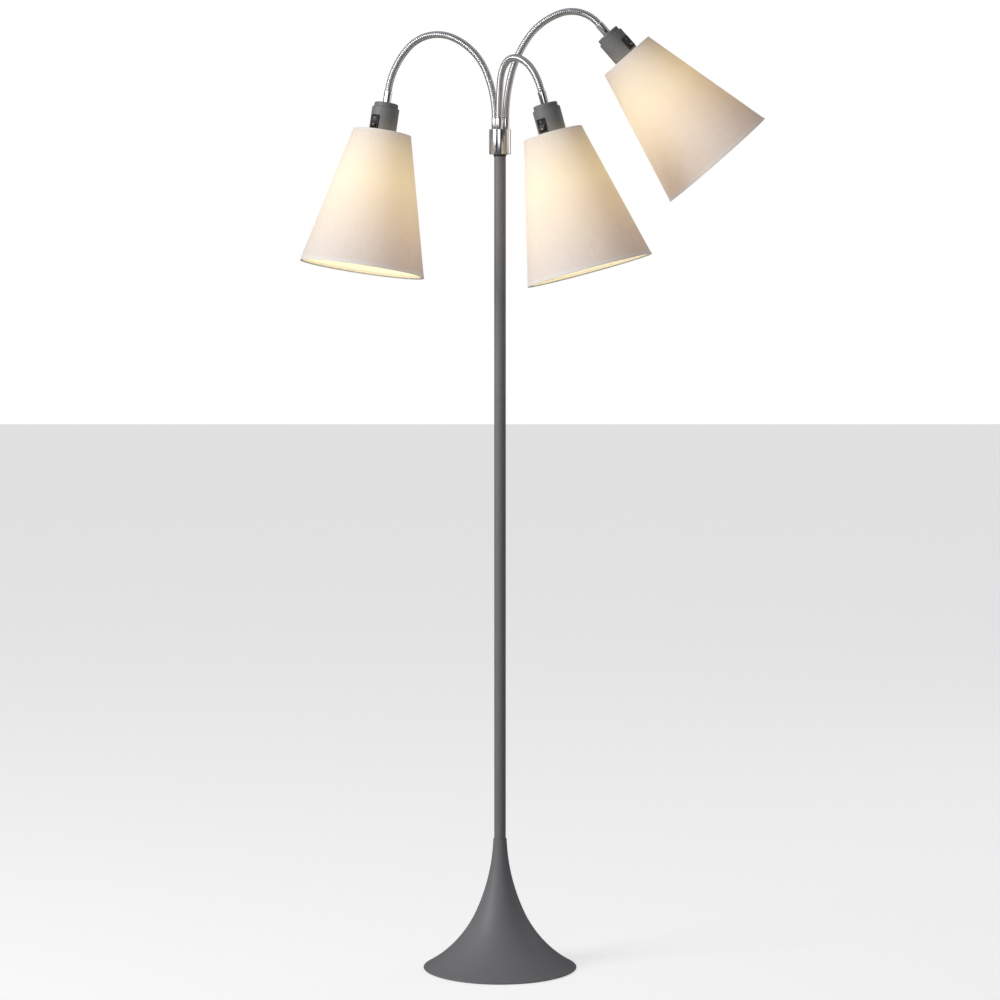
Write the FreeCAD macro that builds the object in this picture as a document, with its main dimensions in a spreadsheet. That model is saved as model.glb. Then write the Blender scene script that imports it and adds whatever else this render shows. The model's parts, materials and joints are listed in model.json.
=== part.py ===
import FreeCAD, Part
import math
import os
import re

import Sketcher
from FreeCAD import Placement, Rotation, Vector

# A floor lamp with a trumpet foot, a slim pole and three ribbed flexible arms, each with its own
# lampholder, rocker switch and cone shade. Millimetres, +Z up, X to the viewer's right and Y away
# from the viewer. The origin is on the floor, at the centre of the foot.

doc = FreeCAD.newDocument("tree_floor_lamp")
sheet = doc.addObject("Spreadsheet::Sheet", "Sizes")

SIZES = {
    # foot: a spun shell over a cast weight, closed by a plate on a felt pad
    "foot_radius": 119.5,
    "foot_height": 205,
    "foot_neck_radius": 10.4,
    "flare_middle_radius": 40.2,
    "flare_middle_height": 84,
    "upper_flare_arc": 305,
    "lower_flare_arc": 190,
    "foot_rim_height": 1.4,
    "foot_rim_lip": 1.1,
    "foot_shell_wall": 1.3,
    "pad_radius": 115,
    "pad_thickness": 2.2,
    "plate_radius": 114.6,
    "plate_thickness": 1.5,
    "weight_radius": 94,
    "weight_top_radius": 68,
    "weight_height": 22,
    "weight_edge_height": 4,
    "stud_radius": 6,
    "stud_hole_clearance": 0.3,
    "nut_pocket_radius": 14,
    "nut_pocket_depth": 9,
    "nut_radius": 9.5,
    "nut_height": 5,
    "nut_flange_radius": 12.5,
    "nut_flange_thickness": 1.6,
    "cord_hole_radius": 3.6,
    "bushing_radius": 5.6,
    "bushing_flange_radius": 7,
    "bushing_flange_thickness": 2,
    "bushing_height": 12,
    "bushing_inner_reach": 98,
    "bushing_outer_reach": 117,
    # pole and the cup that holds the three arms
    "pole_radius": 9,
    "pole_wall": 1,
    "pole_length": 1237,
    "pole_fit": 0.06,
    "pole_foot_grip": 26,
    "lead_hole_radius": 3.5,
    "cup_radius": 16.5,
    "cup_height": 38,
    "cup_wall": 1.2,
    "cup_ledge": 1,
    "cup_spigot": 16,
    "arm_plate_thickness": 5,
    "arm_plate_recess": 0.6,
    "arm_circle_radius": 9.5,
    "block_radius": 13,
    "block_height": 12,
    "block_seat": 4,
    # ribbed arms
    "lower_ferrule_radius": 5.6,
    "lower_ferrule_height": 18,
    "ferrule_tail_radius": 4.7,
    "ferrule_tail_fit": 0.08,
    "upper_ferrule_radius": 6.1,
    "upper_ferrule_length": 20,
    "upper_ferrule_tail": 8,
    "rib_radius": 5.35,
    "groove_radius": 4.9,
    "rib_pitch": 3.1,
    "arm_bore_radius": 2.3,
    "end_bore_radius": 2.2,
    "ball_radius": 3.9,
    "ball_reach": 2.6,
    "seat_gap": 0.3,
    "joint_gap": 1.2,
    "swivel_gap": 0.3,
    "swivel_tail_radius": 3.4,
    "swivel_tail_length": 12,
    "swivel_fit": 0.06,
    "lead_radius": 1.7,
    "lead_end_depth": 12,
    # lampholder housing, measured down from where the ferrule enters its cap
    "cap_edge_radius": 18.4,
    "cap_height": 7,
    "cap_round": 2.2,
    "cap_wall": 1.5,
    "cap_boss_radius": 9,
    "housing_radius": 21,
    "housing_wall": 0.9,
    "housing_end": 55,
    "housing_round": 1.2,
    "holder_start": 44,
    "holder_end": 86,
    "holder_floor": 6,
    "holder_fit": 0.1,
    "holder_cavity_radius": 13.8,
    # rocker switch in the side of the housing
    "switch_centre": 31.5,
    "bezel_width": 15,
    "bezel_height": 21,
    "bezel_proud": 1.2,
    "case_width": 12.8,
    "case_height": 18.8,
    "case_depth": 12,
    "case_clearance": 0.3,
    "case_cavity_depth": 8,
    "rocker_width": 9.8,
    "rocker_half_length": 7.9,
    "rocker_side_gap": 0.4,
    "rocker_end_gap": 0.7,
    "rocker_pivot_depth": 3,
    "rocker_end_rise": 4.4,
    "rocker_middle_rise": 2.6,
    "rocker_heel": 2,
    "rocker_heel_half_length": 7.5,
    "rocker_pin_radius": 1,
    "rocker_pin_reach": 0.9,
    "rocker_pin_fit": 0.06,
    "rocker_rest_angle": 8,
    # shade and its wire carrier
    "shade_top_radius": 44.5,
    "shade_bottom_radius": 96,
    "shade_height": 212.5,
    "shade_start": 45,
    "shade_wall": 1,
    "trim_proud": 0.5,
    "top_trim": 3,
    "bottom_trim": 6,
    "wire_radius": 1.3,
    "wire_inset": 0.4,
    "fabric_gap": 0.15,
    "spoke_radius": 1.1,
    "fitter_thickness": 1.6,
    "fitter_radius": 24,
    "fitter_fit": 0.15,
    "clamp_ring_height": 8,
    "clamp_ring_radius": 24.6,
    # bulb
    "bulb_base_radius": 13,
    "bulb_base_length": 25.5,
    "bulb_contact_radius": 4.6,
    "bulb_gap": 0.3,
    "bulb_radius": 30,
    "bulb_length": 108,
    "bulb_neck_radius": 12.6,
    "bulb_glass": 1,
}

# Each arm: where its ferrule stands on the arm circle, the length of its ribbed tube, how much each
# quarter of the tube bends and towards which heading, and how far round from the viewer's side the
# switch sits (positive towards the viewer's right). Degrees, millimetres.
ARMS = {
    "left": {"stand": 140, "length": 295, "bends": (23, 44, 71, 34), "heading": 173, "drift": 3, "switch": -40},
    "middle": {"stand": -100, "length": 218, "bends": (13, 71, 34, 52.5), "heading": -70, "drift": 6, "switch": -38},
    "right": {"stand": 20, "length": 257, "bends": (14, 21, 36, 68), "heading": 11, "drift": -2.7, "switch": 45},
}
QUARTERS = (1, 2, 3, 4)

for arm, facts in ARMS.items():
    for fact in ("stand", "length", "heading", "drift", "switch"):
        SIZES[f"{arm}_arm_{fact}"] = facts[fact]
    for quarter in QUARTERS:
        SIZES[f"{arm}_arm_bend_{quarter}"] = facts["bends"][quarter - 1]

for row, (name, number) in enumerate(SIZES.items(), 1):
    sheet.set(f"A{row}", name)
    sheet.set(f"B{row}", str(number))
    sheet.setAlias(f"B{row}", name)
doc.recompute()

parts = {}


def bound(expression):
    """The expression with each size's name read from the sheet; a name before a bracket is a function."""
    return re.sub(r"\b[a-z][a-z_0-9]*\b(?!\()", lambda word: f"Sizes.{word.group()}", str(expression))


def size(expression):
    return float(sheet.evalExpression(bound(expression)))


def keep(piece, label, placement=None):
    """Makes the object one of the lamp's pieces, under its label and in its place."""
    if placement is not None:
        piece.Placement = placement
    piece.Label = label
    parts[label] = piece
    return piece


def origin_plane(body, role):
    return next(plane for plane in body.Origin.OriginFeatures if plane.Role == role)


def arc_between(start, end, radius, centre_side):
    """The short arc from start to end, with its centre to the left (+1) or right (-1) of the way."""
    chord = end - start
    half = chord.Length / 2
    away = Vector(-chord.y, chord.x, 0).normalize() * centre_side
    centre = (start + end) * 0.5 + away * math.sqrt(max(radius**2 - half**2, 0))
    angles = [math.atan2(point.y - centre.y, point.x - centre.x) for point in (start, end)]
    if centre_side < 0:
        angles.reverse()
    return Part.ArcOfCircle(Part.Circle(centre, Vector(0, 0, 1), radius), *angles)


def outline_sketch(body, name, plane, outline):
    """A closed outline of (x, y) corners. A corner may add (arc radius, side of its centre) for the
    edge that follows it."""
    sketch = body.newObject("Sketcher::SketchObject", name)
    sketch.AttachmentSupport = (origin_plane(body, plane), [""])
    sketch.MapMode = "FlatFace"
    corners = [Vector(size(corner[0]), size(corner[1]), 0) for corner in outline]
    first_ends = []
    for index, corner in enumerate(outline):
        start, end = corners[index], corners[(index + 1) % len(corners)]
        if len(corner) == 4:
            sketch.addGeometry(arc_between(start, end, size(corner[2]), corner[3]))
            first_ends.append(1 if corner[3] > 0 else 2)
        else:
            sketch.addGeometry(Part.LineSegment(start, end))
            first_ends.append(1)
    for index in range(len(outline)):
        following = (index + 1) % len(outline)
        sketch.addConstraint(
            Sketcher.Constraint("Coincident", index, 3 - first_ends[index], following, first_ends[following])
        )
    for index, corner in enumerate(outline):
        for kind, expression, axis in (("DistanceX", corner[0], -2), ("DistanceY", corner[1], -1)):
            if str(expression) == "0":
                sketch.addConstraint(Sketcher.Constraint("PointOnObject", index, first_ends[index], axis))
                continue
            rule = Sketcher.Constraint(kind, -1, 1, index, first_ends[index], size(expression))
            number = sketch.addConstraint(rule)
            sketch.setExpression(f"Constraints[{number}]", bound(expression))
        if len(corner) == 4:
            number = sketch.addConstraint(Sketcher.Constraint("Radius", index, size(corner[2])))
            sketch.setExpression(f"Constraints[{number}]", bound(corner[2]))
    return sketch


def turned(name, outline):
    """A body of revolution: the outline's corners are (radius, height) about the body's own Z axis."""
    body = doc.addObject("PartDesign::Body", name)
    sketch = outline_sketch(body, f"{name}_profile", "XZ_Plane", outline)
    turn = body.newObject("PartDesign::Revolution", f"{name}_turn")
    turn.Profile = (sketch, [""])
    turn.ReferenceAxis = (sketch, ["V_Axis"])
    turn.Angle = 360
    sketch.Visibility = False
    return body


def padded_outline(name, outline, width):
    """A prism: the outline lies in the body's XZ plane and is padded evenly to both sides."""
    body = doc.addObject("PartDesign::Body", name)
    sketch = outline_sketch(body, f"{name}_profile", "XZ_Plane", outline)
    pad = body.newObject("PartDesign::Pad", f"{name}_pad")
    pad.Profile = (sketch, [""])
    pad.setExpression("Length", bound(width))
    pad.Midplane = True
    return body


def place_by(piece, **expressions):
    """Ties the piece's place to the sheet, axis by axis."""
    for axis, expression in expressions.items():
        piece.setExpression(f".Placement.Base.{axis}", bound(expression))


def block(name, x, y, z):
    """A box between two expressions along each axis."""
    box = doc.addObject("Part::Box", name)
    for side, (low, high) in zip(("Length", "Width", "Height"), (x, y, z)):
        box.setExpression(side, bound(f"({high}) - ({low})"))
    place_by(box, x=x[0], y=y[0], z=z[0])
    return box


def rod(name, radius, length, rotation=Rotation(), **place):
    """A cylinder along its own Z axis, turned and then placed."""
    cylinder = doc.addObject("Part::Cylinder", name)
    cylinder.setExpression("Radius", bound(radius))
    cylinder.setExpression("Height", bound(length))
    cylinder.Placement = Placement(Vector(), rotation)
    place_by(cylinder, **place)
    return cylinder


def hoop(name, radius, wire, height):
    """A closed wire ring about the Z axis."""
    ring = doc.addObject("Part::Torus", name)
    ring.setExpression("Radius1", bound(radius))
    ring.setExpression("Radius2", bound(wire))
    place_by(ring, z=height)
    return ring


def without(name, base, *tools):
    """The base with every tool cut away."""
    tool = tools[0]
    if len(tools) > 1:
        tool = doc.addObject("Part::MultiFuse", f"{name}_tools")
        tool.Shapes = list(tools)
    result = doc.addObject("Part::Cut", name)
    result.Base = base
    result.Tool = tool
    return result


def together(name, *pieces):
    result = doc.addObject("Part::MultiFuse", name)
    result.Shapes = list(pieces)
    return result


# ---------------------------------------------------------------- foot


def foot_shell():
    """The spun trumpet: two arcs from the neck down to the rim, and the same arcs one wall inside."""
    lip = "foot_rim_height + foot_rim_lip"
    outline = [
        ("foot_neck_radius", "foot_height", "upper_flare_arc", 1),
        ("flare_middle_radius", "flare_middle_height", "lower_flare_arc", 1),
        ("foot_radius", lip),
        ("foot_radius", "foot_rim_height"),
        ("foot_radius - foot_shell_wall", "foot_rim_height"),
        ("foot_radius - foot_shell_wall", f"{lip} - foot_shell_wall * 0.6", "lower_flare_arc + foot_shell_wall", -1),
        (
            "flare_middle_radius - foot_shell_wall * 0.9",
            "flare_middle_height - foot_shell_wall * 0.45",
            "upper_flare_arc + foot_shell_wall",
            -1,
        ),
        ("foot_neck_radius - foot_shell_wall", "foot_height"),
    ]
    shell = turned("base_shell_spinning", outline)
    hole = rod(
        "base_shell_cord_hole",
        "bushing_radius + pole_fit",
        "foot_radius",
        Rotation(Vector(1, 0, 0), -90),
        y="bushing_inner_reach - 20",
        z="bushing_height",
    )
    keep(without("base_shell", shell, hole), "base_shell")


def foot_inside():
    """The felt pad, the plate, the cast weight, and the stud and flanged nut that pull them together."""
    plate_top = "pad_thickness + plate_thickness"
    weight_top = f"{plate_top} + weight_height"
    keep(
        turned("foot_pad", [("0", "0"), ("pad_radius", "0"), ("pad_radius", "pad_thickness"), ("0", "pad_thickness")]),
        "foot_pad",
    )
    keep(
        turned(
            "base_plate",
            [
                ("lead_hole_radius", "pad_thickness"),
                ("plate_radius", "pad_thickness"),
                ("plate_radius", plate_top),
                ("lead_hole_radius", plate_top),
            ],
        ),
        "base_plate",
    )
    hole = "stud_radius + stud_hole_clearance"
    keep(
        turned(
            "base_weight",
            [
                ("nut_pocket_radius", plate_top),
                ("weight_radius", plate_top),
                ("weight_radius", f"{plate_top} + weight_edge_height"),
                ("weight_top_radius", weight_top),
                (hole, weight_top),
                (hole, f"{plate_top} + nut_pocket_depth"),
                ("nut_pocket_radius", f"{plate_top} + nut_pocket_depth"),
            ],
        ),
        "base_weight",
    )
    flange_top = f"{plate_top} + nut_pocket_depth"
    nut_top = f"{flange_top} - nut_flange_thickness"
    hexagon = doc.addObject("Part::Prism", "base_nut_hexagon")
    hexagon.Polygon = 6
    hexagon.setExpression("Circumradius", bound("nut_radius"))
    hexagon.setExpression("Height", bound("nut_height"))
    place_by(hexagon, z=f"{nut_top} - nut_height")
    flange = rod("base_nut_flange", "nut_flange_radius", "nut_flange_thickness", z=nut_top)
    thread = rod("base_nut_thread", "stud_radius + pole_fit", "nut_pocket_depth", z=plate_top)
    keep(without("base_nut", together("base_nut_solid", hexagon, flange), thread), "base_nut")
    stud_end = f"{nut_top} - nut_height - 1"
    keep(
        turned(
            "pole_foot",
            [
                ("lead_hole_radius", stud_end),
                ("stud_radius", stud_end),
                ("stud_radius", weight_top),
                ("pole_radius", weight_top),
                ("pole_radius", f"{weight_top} + 3"),
                ("pole_radius - pole_wall - pole_fit", f"{weight_top} + 3"),
                ("pole_radius - pole_wall - pole_fit", f"{weight_top} + 3 + pole_foot_grip"),
                ("lead_hole_radius", f"{weight_top} + 3 + pole_foot_grip"),
            ],
        ),
        "pole_foot",
    )


def cord_bushing():
    """The lined hole low at the back of the foot, where a supply cord enters."""
    length = "bushing_outer_reach - bushing_inner_reach"
    bushing = turned(
        "cord_bushing",
        [
            ("cord_hole_radius", "0"),
            ("bushing_radius", "0"),
            ("bushing_radius", f"{length}"),
            ("bushing_flange_radius", f"{length}"),
            ("bushing_flange_radius", f"{length} + bushing_flange_thickness"),
            ("cord_hole_radius", f"{length} + bushing_flange_thickness"),
        ],
    )
    back = Vector(0, size("bushing_inner_reach"), size("bushing_height"))
    keep(bushing, "cord_bushing", Placement(back, Rotation(Vector(1, 0, 0), -90)))


# ---------------------------------------------------------------- pole and cup

POLE_BOTTOM = "pad_thickness + plate_thickness + weight_height + 3"
CUP_BOTTOM = f"{POLE_BOTTOM} + pole_length"
ARM_PLATE_TOP = f"{CUP_BOTTOM} + cup_height - arm_plate_recess"
ARM_PLATE_BOTTOM = f"{ARM_PLATE_TOP} - arm_plate_thickness"
BLOCK_BOTTOM = f"{CUP_BOTTOM} + cup_wall + block_seat"
FERRULE_TOP = f"{ARM_PLATE_TOP} + lower_ferrule_height"


def pole_and_cup():
    inner = "pole_radius - pole_wall"
    keep(
        turned(
            "pole",
            [(inner, POLE_BOTTOM), ("pole_radius", POLE_BOTTOM), ("pole_radius", CUP_BOTTOM), (inner, CUP_BOTTOM)],
        ),
        "pole",
    )
    bore = "cup_radius - cup_wall"
    floor = f"{CUP_BOTTOM} + cup_wall"
    spigot = "pole_radius - pole_wall - pole_fit"
    keep(
        turned(
            "arm_cup",
            [
                ("lead_hole_radius", f"{CUP_BOTTOM} - cup_spigot"),
                (spigot, f"{CUP_BOTTOM} - cup_spigot"),
                (spigot, CUP_BOTTOM),
                ("cup_radius", CUP_BOTTOM),
                ("cup_radius", f"{CUP_BOTTOM} + cup_height"),
                (bore, f"{CUP_BOTTOM} + cup_height"),
                (bore, ARM_PLATE_BOTTOM),
                (f"{bore} - cup_ledge", ARM_PLATE_BOTTOM),
                (f"{bore} - cup_ledge", floor),
                ("lead_hole_radius", floor),
            ],
        ),
        "arm_cup",
    )
    disc = rod("arm_plate_disc", f"{bore} - pole_fit", "arm_plate_thickness", z=ARM_PLATE_BOTTOM)
    holes = [
        rod(
            f"arm_plate_hole_{arm}",
            "ferrule_tail_radius + ferrule_tail_fit",
            "arm_plate_thickness",
            x=f"arm_circle_radius * cos({arm}_arm_stand)",
            y=f"arm_circle_radius * sin({arm}_arm_stand)",
            z=ARM_PLATE_BOTTOM,
        )
        for arm in ARMS
    ]
    keep(without("arm_plate", disc, *holes), "arm_plate")


def terminal_block():
    """The round junction block in the cup, on its foot, with a hole for each arm's lead."""
    body = rod("terminal_block_body", "block_radius", "block_height", z=BLOCK_BOTTOM)
    post = rod("terminal_block_post", "block_radius / 2", "block_seat", z=f"{CUP_BOTTOM} + cup_wall")
    solid = together("terminal_block_solid", body, post)
    holes = [
        rod(
            f"terminal_block_hole_{arm}",
            "lead_radius + seat_gap",
            "block_height",
            x=f"arm_circle_radius * cos({arm}_arm_stand)",
            y=f"arm_circle_radius * sin({arm}_arm_stand)",
            z=f"{BLOCK_BOTTOM} + block_height - block_seat",
        )
        for arm in ARMS
    ]
    way = rod(
        "terminal_block_way", "lead_hole_radius", "block_height + block_seat", z=f"{CUP_BOTTOM} + cup_wall"
    )
    keep(without("terminal_block", solid, *holes, way), "terminal_block")


# ---------------------------------------------------------------- arms


def arm_frames(arm):
    """Placements along one arm: its foot, then the start of each quarter with local X towards that
    quarter's bend and local Z along the tube, then the tube's end."""
    stand = math.radians(size(f"{arm}_arm_stand"))
    circle = size("arm_circle_radius")
    place = Vector(circle * math.cos(stand), circle * math.sin(stand), size(FERRULE_TOP))
    carried = Rotation()
    frames = []
    for quarter in QUARTERS:
        heading = size(f"{arm}_arm_heading + {arm}_arm_drift * {quarter - 1}")
        bend = size(f"{arm}_arm_bend_{quarter}")
        start = Placement(place, carried * Rotation(Vector(0, 0, 1), heading))
        frames.append(start)
        local = along_quarter(arm, quarter, size(f"{arm}_arm_length") / len(QUARTERS))
        place = start.multVec(local.Base)
        turn_axis = start.Rotation.multVec(Vector(0, 1, 0))
        carried = Rotation(turn_axis, bend) * carried
    frames.append(Placement(place, Rotation(turn_axis, bend) * frames[-1].Rotation))
    return frames


def along_quarter(arm, quarter, distance):
    """The place in a quarter's own frame after that distance along its arc, which bends towards +X."""
    bend = math.radians(size(f"{arm}_arm_bend_{quarter}"))
    radius = size(f"{arm}_arm_length") / len(QUARTERS) / bend
    turn = distance / radius
    spot = Vector(radius * (1 - math.cos(turn)), 0, radius * math.sin(turn))
    return Placement(spot, Rotation(Vector(0, 1, 0), math.degrees(turn)))


SEAM_ON_BEND_AXIS = Rotation(Vector(0, 0, 1), 90)


def ring_at(place, radius):
    """A circle across the tube there; it starts on the axis of the bend, whose direction is steady."""
    circle = Part.Wire([Part.makeCircle(radius)])
    circle.Placement = place * Placement(Vector(), SEAM_ON_BEND_AXIS)
    return circle


def swept_round(arm, quarter, radius):
    """A plain round bar along the whole of a quarter's arc."""
    bend = size(f"{arm}_arm_bend_{quarter}")
    arc_radius = size(f"{arm}_arm_length") / len(QUARTERS) / math.radians(bend)
    disc = Part.Face(ring_at(Placement(), radius))
    return disc.revolve(Vector(arc_radius, 0, 0), Vector(0, 1, 0), bend)


def straight_round(place, radius, low, high):
    """A plain round bar along the local Z axis of a place, between two heights."""
    bar = Part.makeCylinder(radius, high - low, Vector(0, 0, low))
    bar.Placement = place
    return bar


def ribbed_tube(arm, quarter, start, end):
    """The ribs of one quarter, each a ruled loft through four circles, from start to end along it."""
    ribs = max(1, round((end - start) / size("rib_pitch")))
    pitch = (end - start) / ribs
    groove, crest = size("groove_radius"), size("rib_radius")
    rings = []
    for rib in range(ribs):
        for share, radius in ((0, groove), (0.22, crest), (0.66, crest), (0.88, groove)):
            rings.append(ring_at(along_quarter(arm, quarter, start + (rib + share) * pitch), radius))
    rings.append(ring_at(along_quarter(arm, quarter, end), groove))
    return Part.makeLoft(rings, True, True)


def ball_seat():
    """The hollow that a ball turns in. Its poles are cut off flat inside the bore."""
    radius = size("ball_radius + seat_gap")
    limit = math.degrees(math.acos(size("end_bore_radius") * 0.9 / radius))
    seat = Part.makeSphere(radius, Vector(), Vector(0, 0, 1), -limit, limit, 360)
    seat.Placement = Placement(Vector(), SEAM_ON_BEND_AXIS)
    return seat


def neck_shape(arm, quarter):
    """A quarter of the ribbed tube. It ends in a hollow ball at the next joint's centre and starts as
    the seat of the ball before it; the first one starts in a plain tail that turns in its ferrule."""
    span = size(f"{arm}_arm_length") / len(QUARTERS)
    half_gap = size("joint_gap") / 2
    ball_radius, end_bore = size("ball_radius"), size("end_bore_radius")
    here = Placement()
    there = along_quarter(arm, quarter, span)
    start = size("swivel_gap") if quarter == 1 else half_gap
    tube = ribbed_tube(arm, quarter, start, span - half_gap)
    ball = Part.makeSphere(ball_radius)
    ball.Placement = there
    ball = ball.common(straight_round(there, ball_radius + 1, -2 * half_gap, size("ball_reach")))
    shape = tube.fuse(ball)
    cuts = [
        swept_round(arm, quarter, size("arm_bore_radius")),
        straight_round(there, end_bore, -half_gap, 2 * ball_radius),
    ]
    if quarter == 1:
        tail = straight_round(here, size("swivel_tail_radius"), -size("swivel_tail_length"), 2 * start)
        shape = shape.fuse(tail)
        cuts.append(straight_round(here, end_bore, -2 * size("swivel_tail_length"), start))
    else:
        cuts.append(ball_seat())
    for tool in cuts:
        shape = shape.cut(tool)
    return shape


def neck_pieces(arm, frames):
    for quarter in QUARTERS:
        piece = doc.addObject("Part::Feature", f"{arm}_neck_{quarter}")
        piece.Shape = neck_shape(arm, quarter)
        keep(piece, f"{arm}_neck_{quarter}", frames[quarter - 1])


def ferrules(arm, frames):
    """The plain sleeves at both ends of a ribbed tube, each with a tail into what holds it."""
    tail, bore = "ferrule_tail_radius", "swivel_tail_radius + swivel_fit"
    foot = "arm_plate_thickness"
    top = f"{foot} + lower_ferrule_height"
    lower = turned(
        f"{arm}_lower_ferrule",
        [
            (bore, "0"),
            (tail, "0"),
            (tail, foot),
            ("lower_ferrule_radius", foot),
            ("lower_ferrule_radius", top),
            (bore, top),
        ],
    )
    below = Vector(frames[0].Base.x, frames[0].Base.y, size(ARM_PLATE_BOTTOM))
    keep(lower, f"{arm}_lower_ferrule", Placement(below, Rotation()))
    length = "upper_ferrule_length"
    blank = turned(
        f"{arm}_upper_ferrule_blank",
        [
            ("arm_bore_radius", "joint_gap / 2"),
            ("upper_ferrule_radius", "joint_gap / 2"),
            ("upper_ferrule_radius", length),
            (tail, length),
            (tail, f"{length} + upper_ferrule_tail"),
            ("arm_bore_radius", f"{length} + upper_ferrule_tail"),
        ],
    )
    seat = doc.addObject("Part::Sphere", f"{arm}_upper_ferrule_seat")
    seat.setExpression("Radius", bound("ball_radius + seat_gap"))
    keep(without(f"{arm}_upper_ferrule", blank, seat), f"{arm}_upper_ferrule", frames[-1])


def arm_leads():
    """The flexible lead inside each arm, from the junction block through the tube to the housing."""
    radius = size("lead_radius")
    leads = []
    for arm in ARMS:
        frames = arm_frames(arm)
        depth = size(f"{FERRULE_TOP} - ({BLOCK_BOTTOM}) - block_height + block_seat") - size("seat_gap")
        lead = straight_round(frames[0], radius, -depth, 0)
        for quarter in QUARTERS:
            stretch = swept_round(arm, quarter, radius)
            stretch.Placement = frames[quarter - 1]
            lead = lead.fuse(stretch)
        reach = size("upper_ferrule_length + lead_end_depth")
        leads.append(lead.fuse(straight_round(frames[-1], radius, 0, reach)))
    piece = doc.addObject("Part::Feature", "arm_leads")
    piece.Shape = Part.makeCompound(leads)
    keep(piece, "arm_leads")


# ---------------------------------------------------------------- heads: housing, switch, shade, bulb


def head_place(arm, frames):
    """Local Z runs down the head's axis from the cap, and local X points out through its switch."""
    axis = frames[-1].Rotation.multVec(Vector(0, 0, 1))
    entry = frames[-1].multVec(Vector(0, 0, size("upper_ferrule_length")))
    to_viewer = Vector(0, -1, 0)
    front = (to_viewer - axis * to_viewer.dot(axis)).normalize()
    to_right = axis.cross(front)
    if to_right.x < 0:
        to_right = to_right * -1
    turn = math.radians(size(f"{arm}_arm_switch"))
    out = front * math.cos(turn) + to_right * math.sin(turn)
    return Placement(entry, Rotation(out, axis.cross(out), axis, "ZXY"))


def housing(arm, place):
    """The stepped cap and the tube under it, with the window that the switch sits in."""
    screw = "ferrule_tail_radius + ferrule_tail_fit"
    inner_edge = "cap_edge_radius - cap_wall"
    cap = turned(
        f"{arm}_socket_cap",
        [
            (screw, "0"),
            ("cap_edge_radius - cap_round", "0", "cap_round", 1),
            ("cap_edge_radius", "cap_round"),
            ("cap_edge_radius", "cap_height"),
            (inner_edge, "cap_height"),
            (inner_edge, "cap_wall"),
            ("cap_boss_radius", "cap_wall"),
            ("cap_boss_radius", "cap_height"),
            (screw, "cap_height"),
        ],
    )
    keep(cap, f"{arm}_socket_cap", place)
    inside = "housing_radius - housing_wall"
    shoulder = "cap_height + housing_round"
    tube = turned(
        f"{arm}_socket_tube",
        [
            ("cap_boss_radius", "cap_height"),
            ("housing_radius - housing_round", "cap_height", "housing_round", 1),
            ("housing_radius", shoulder),
            ("housing_radius", "housing_end"),
            (inside, "housing_end"),
            (inside, shoulder),
            ("cap_boss_radius", shoulder),
        ],
    )
    window = block(
        f"{arm}_socket_window",
        ("housing_radius / 2", "housing_radius + 1"),
        ("-case_width / 2 - case_clearance", "case_width / 2 + case_clearance"),
        (
            "switch_centre - case_height / 2 - case_clearance",
            "switch_centre + case_height / 2 + case_clearance",
        ),
    )
    keep(without(f"{arm}_socket_body", tube, window), f"{arm}_socket_body", place)


def lampholder(arm, place):
    outside = "housing_radius - housing_wall - holder_fit"
    floor = "holder_start + holder_floor"
    piece = turned(
        f"{arm}_lampholder",
        [
            ("0", "holder_start"),
            (outside, "holder_start"),
            (outside, "holder_end"),
            ("holder_cavity_radius", "holder_end"),
            ("holder_cavity_radius", floor),
            ("0", floor),
        ],
    )
    keep(piece, f"{arm}_lampholder", place)


def switch(arm, place):
    """The case with its bezel resting on the housing, and the rocker that tips on its pin inside."""
    face = "housing_radius + bezel_proud"
    bezel = block(
        f"{arm}_bezel_plate",
        ("housing_radius - housing_wall", face),
        ("-bezel_width / 2", "bezel_width / 2"),
        ("switch_centre - bezel_height / 2", "switch_centre + bezel_height / 2"),
    )
    barrel = rod(f"{arm}_bezel_curve", "housing_radius + pole_fit", "housing_end")
    rim = without(f"{arm}_bezel", bezel, barrel)
    case = block(
        f"{arm}_case_block",
        (f"{face} - case_depth", face),
        ("-case_width / 2", "case_width / 2"),
        ("switch_centre - case_height / 2", "switch_centre + case_height / 2"),
    )
    half_opening = "(rocker_half_length + rocker_end_gap)"
    cavity = block(
        f"{arm}_case_cavity",
        (f"{face} - case_cavity_depth", f"{face} + 1"),
        ("-rocker_width / 2 - rocker_side_gap", "rocker_width / 2 + rocker_side_gap"),
        (f"switch_centre - {half_opening}", f"switch_centre + {half_opening}"),
    )
    pin_half = "(rocker_width / 2 + rocker_pin_reach)"
    pin_hole = rod(
        f"{arm}_case_pin_hole",
        "rocker_pin_radius + rocker_pin_fit",
        f"{pin_half} * 2 + rocker_pin_fit * 2",
        Rotation(Vector(1, 0, 0), -90),
        x=f"{face} - rocker_pivot_depth",
        y=f"-{pin_half} - rocker_pin_fit",
        z="switch_centre",
    )
    body = together(f"{arm}_switch_solid", rim, case)
    keep(without(f"{arm}_switch_case", body, cavity, pin_hole), f"{arm}_switch_case", place)
    wedge = padded_outline(
        f"{arm}_rocker_wedge",
        [
            ("-rocker_heel", "-rocker_heel_half_length"),
            ("rocker_end_rise", "-rocker_half_length"),
            ("rocker_middle_rise", "0"),
            ("rocker_end_rise", "rocker_half_length"),
            ("-rocker_heel", "rocker_heel_half_length"),
        ],
        "rocker_width",
    )
    pin = rod(
        f"{arm}_rocker_pin",
        "rocker_pin_radius",
        f"{pin_half} * 2",
        Rotation(Vector(1, 0, 0), -90),
        y=f"-{pin_half}",
    )
    rocker = together(f"{arm}_switch_rocker", wedge, pin)
    keep(rocker, f"{arm}_switch_rocker", place * rocker_place())


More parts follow.
